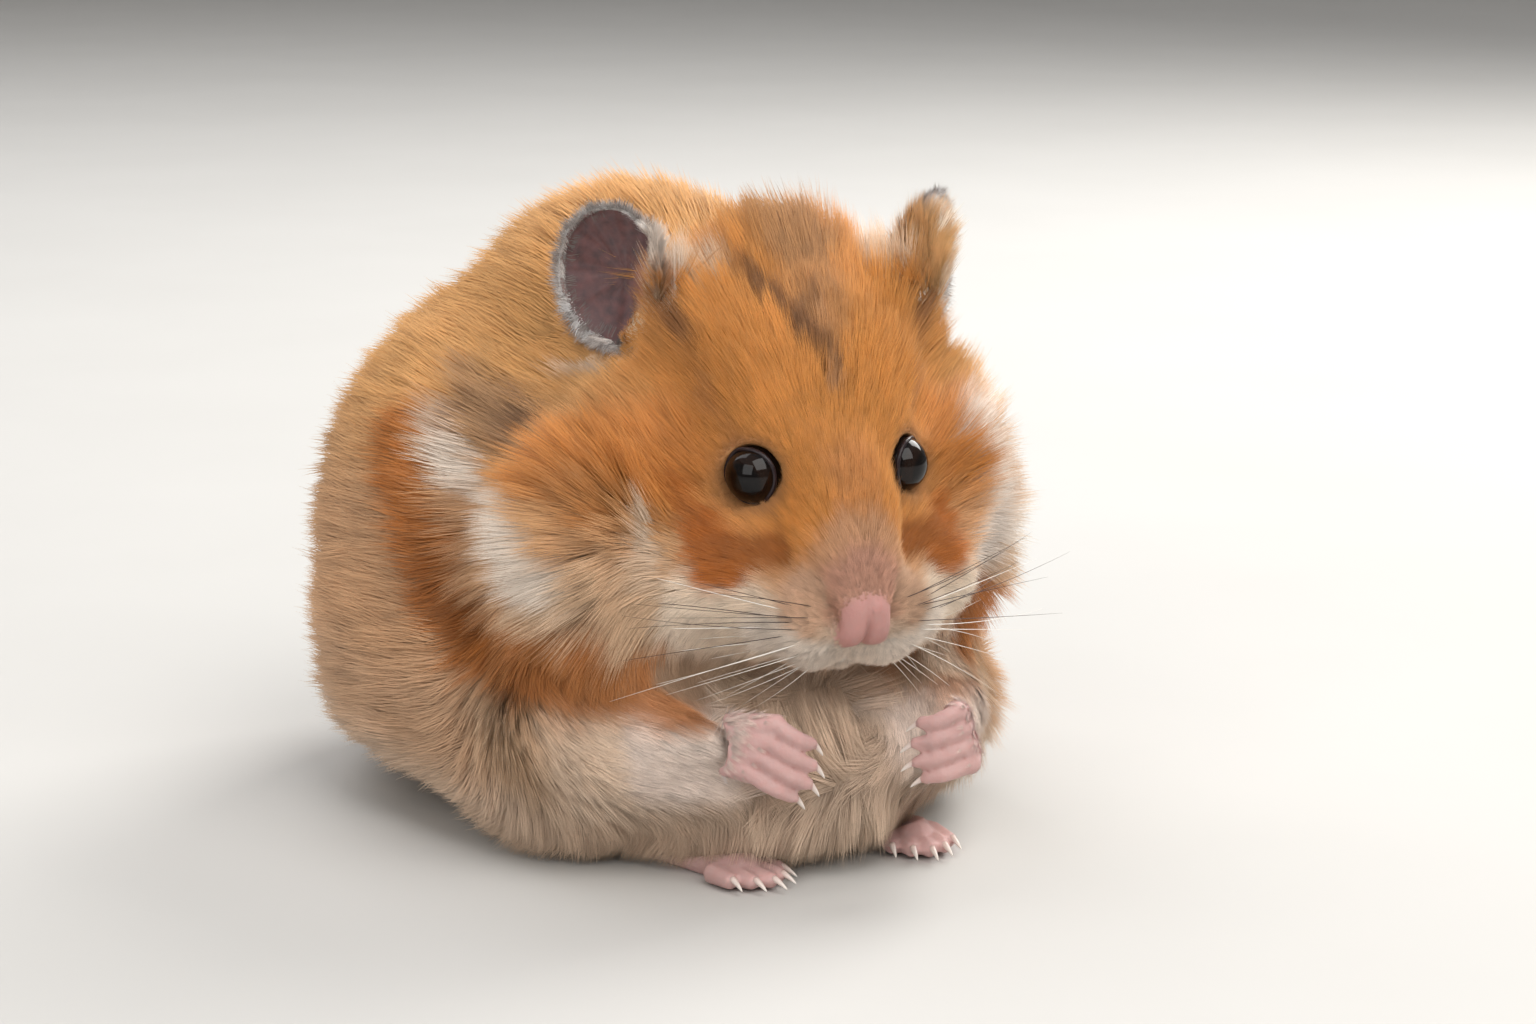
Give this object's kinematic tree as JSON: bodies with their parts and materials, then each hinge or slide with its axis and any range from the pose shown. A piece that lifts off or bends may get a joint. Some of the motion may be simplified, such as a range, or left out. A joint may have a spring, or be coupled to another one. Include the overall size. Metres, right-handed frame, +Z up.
{
  "type": "syrian hamster model",
  "caption": "Still, life-size model of a golden Syrian hamster sitting up on its rump, head turned and lowered, forepaws held together before its chest.",
  "frame": {"origin": "on the floor, under the middle of the model's bounding box", "axes": "+Z up from the floor; the trunk faces -Y, so the tail is towards +Y; +X is the animal's left"},
  "size_m": [0.083, 0.1136, 0.0787],
  "materials": {
    "golden_coat": "soft golden-orange fur",
    "sandy_coat": "soft sandy fur",
    "ear_skin": "thin matt skin with fine down",
    "bare_skin": "soft matt pink skin",
    "eye": "polished, wet-looking black"
  },
  "bodies": {
    "root": {"ear_left": "ear_skin", "ear_right": "ear_skin", "eye_left": "eye", "eye_right": "eye", "foreleg_left": "golden_coat", "foreleg_right": "golden_coat", "forepaw_left": "bare_skin", "forepaw_right": "bare_skin", "head": "golden_coat", "hindfoot_left": "bare_skin", "hindfoot_right": "bare_skin", "hindleg_left": "sandy_coat", "hindleg_right": "sandy_coat", "neck": "golden_coat", "tail": "bare_skin", "trunk": "sandy_coat"}
  },
  "joints": []
}
